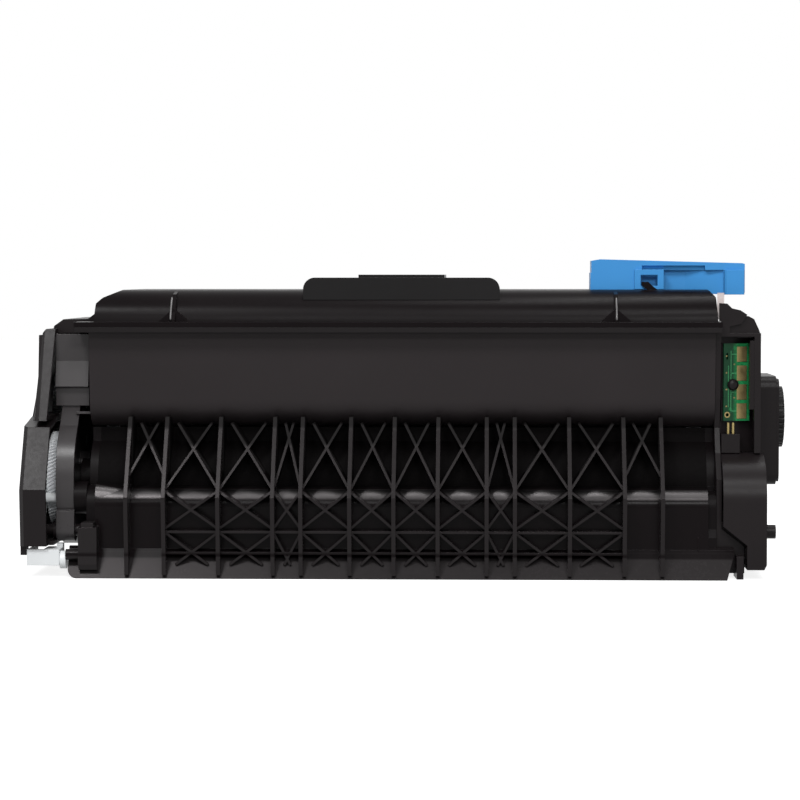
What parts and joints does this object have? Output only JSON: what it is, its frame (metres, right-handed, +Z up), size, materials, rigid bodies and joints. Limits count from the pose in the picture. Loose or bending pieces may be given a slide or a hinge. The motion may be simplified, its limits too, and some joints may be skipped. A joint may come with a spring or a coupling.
{
  "type": "toner cartridge",
  "caption": "Laser printer toner cartridge with a ribbed paper guide, photoconductor drum, geared rollers, contact board, carrying handle and blue seal handle.",
  "frame": {"origin": "middle of the bounding box at the level of the underside, where the cartridge rests", "axes": "+X along the cartridge towards the contact board, +Y from the paper guide towards the back, +Z up"},
  "size_m": [0.3122, 0.121, 0.1286],
  "materials": {
    "black_case": "fine moulded black, satin",
    "dark_frame": "moulded dark grey",
    "white_resin": "white acetal resin",
    "steel": "plated steel",
    "drum_coat": "blue green photoconductor coat",
    "roller_rubber": "conductive rubber",
    "sleeve": "blasted sleeve",
    "foam": "open cell foam",
    "blade_rubber": "amber polyurethane",
    "film": "clear stiff film",
    "seal_film": "translucent sealing film",
    "blue_resin": "blue moulded handle",
    "board": "green solder mask",
    "gold": "gold plated contact"
  },
  "bodies": {
    "cartridge": {"toner_hopper": "black_case", "hopper_lid": "black_case", "carry_handle": "black_case", "paper_guide": "black_case", "waste_frame": "dark_frame", "left_end_plate": "dark_frame", "left_end_cover": "black_case", "left_guide_foot": "white_resin", "left_frame_pin": "dark_frame", "right_end_plate": "dark_frame", "right_end_cover": "black_case", "right_side_cap": "black_case", "chip_holder": "black_case", "chip_board": "board", "chip_pads": "gold", "contact_block": "dark_frame", "contact_pins": "gold", "rear_cover": "black_case", "seal_handle": "blue_resin", "seal_film": "seal_film", "filler_cap": "black_case", "drum_axle": "steel", "idler_stud": "steel", "doctor_blade": "steel", "wiper_bracket": "steel", "wiper_blade": "blade_rubber", "charge_springs": "steel", "charge_blocks": "white_resin", "roller_bushes": "white_resin", "cover_screws": "steel"},
    "drum": {"drum_tube": "drum_coat", "drum_flange_left": "white_resin", "drum_helical_gear": "white_resin", "drum_flange_right": "white_resin"},
    "charge_roller": {"charge_shaft": "steel", "charge_rubber": "roller_rubber"},
    "developer_roller": {"developer_shaft": "steel", "developer_sleeve": "sleeve", "developer_gear": "white_resin"},
    "supply_roller": {"supply_shaft": "steel", "supply_foam": "foam", "supply_gear": "white_resin"},
    "agitator": {"agitator_shaft": "white_resin", "agitator_film": "film", "agitator_gear": "white_resin"},
    "idler": {"idler_gear": "white_resin"},
    "waste_auger": {"auger_screw": "white_resin", "auger_gear": "white_resin"}
  },
  "joints": [
    {"name": "drum_spin", "type": "hinge", "parent": "cartridge", "child": "drum", "pos_m": [-0.00305, -0.0215, 0.038], "axis": [1, 0, 0], "continuous": true},
    {"name": "charge_spin", "type": "hinge", "parent": "cartridge", "child": "charge_roller", "pos_m": [-0.00305, -0.0178, 0.05898], "axis": [1, 0, 0], "continuous": true},
    {"name": "developer_spin", "type": "hinge", "parent": "cartridge", "child": "developer_roller", "pos_m": [-0.00305, 0.00119, 0.04282], "axis": [1, 0, 0], "continuous": true},
    {"name": "supply_spin", "type": "hinge", "parent": "cartridge", "child": "supply_roller", "pos_m": [-0.00305, 0.01533, 0.03623], "axis": [1, 0, 0], "continuous": true},
    {"name": "agitator_spin", "type": "hinge", "parent": "cartridge", "child": "agitator", "pos_m": [-0.00305, 0.01434, 0.07688], "axis": [1, 0, 0], "continuous": true},
    {"name": "idler_spin", "type": "hinge", "parent": "cartridge", "child": "idler", "pos_m": [-0.00305, 0.01657, 0.05138], "axis": [1, 0, 0], "continuous": true},
    {"name": "auger_spin", "type": "hinge", "parent": "cartridge", "child": "waste_auger", "pos_m": [-0.00305, -0.04254, 0.03157], "axis": [1, 0, 0], "continuous": true}
  ],
  "couplings": [
    {"joint": "developer_spin", "follows": "drum_spin", "ratio": -1.9},
    {"joint": "idler_spin", "follows": "drum_spin", "ratio": 1.5833},
    {"joint": "supply_spin", "follows": "drum_spin", "ratio": -2.7143},
    {"joint": "agitator_spin", "follows": "drum_spin", "ratio": -0.95},
    {"joint": "auger_spin", "follows": "drum_spin", "ratio": -2.2353},
    {"joint": "charge_spin", "follows": "drum_spin", "ratio": -2.5}
  ]
}
